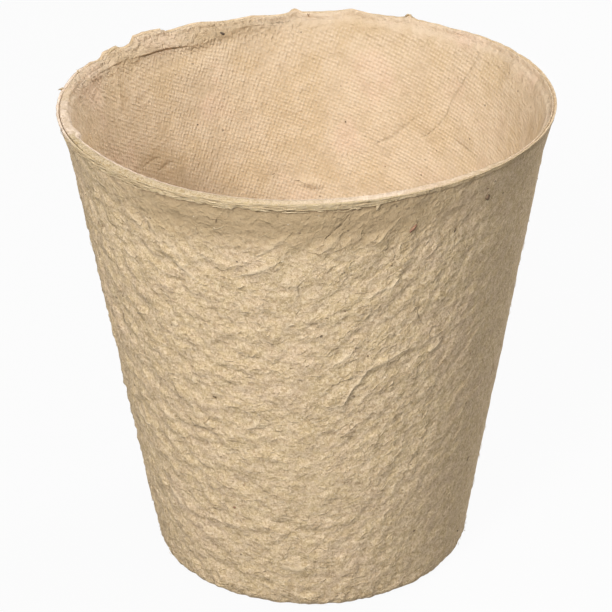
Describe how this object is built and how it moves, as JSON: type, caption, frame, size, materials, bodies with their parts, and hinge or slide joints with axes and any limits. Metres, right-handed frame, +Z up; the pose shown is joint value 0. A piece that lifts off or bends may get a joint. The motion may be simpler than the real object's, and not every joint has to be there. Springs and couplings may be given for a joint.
{
  "type": "peat pot",
  "caption": "Round tapered seedling pot moulded in one piece from peat pulp, open at the top, with a flared collar and a drain hole.",
  "frame": {"origin": "centre of the foot, on the surface that the pot stands on", "axes": "+Z up through the mouth; +X to the right and -Y to the front, as the pot is seen in the picture"},
  "size_m": [0.08, 0.0798, 0.0808],
  "materials": {
    "peat_pulp": "matte"
  },
  "bodies": {
    "root": {"pot_shell": "peat_pulp"}
  },
  "joints": []
}
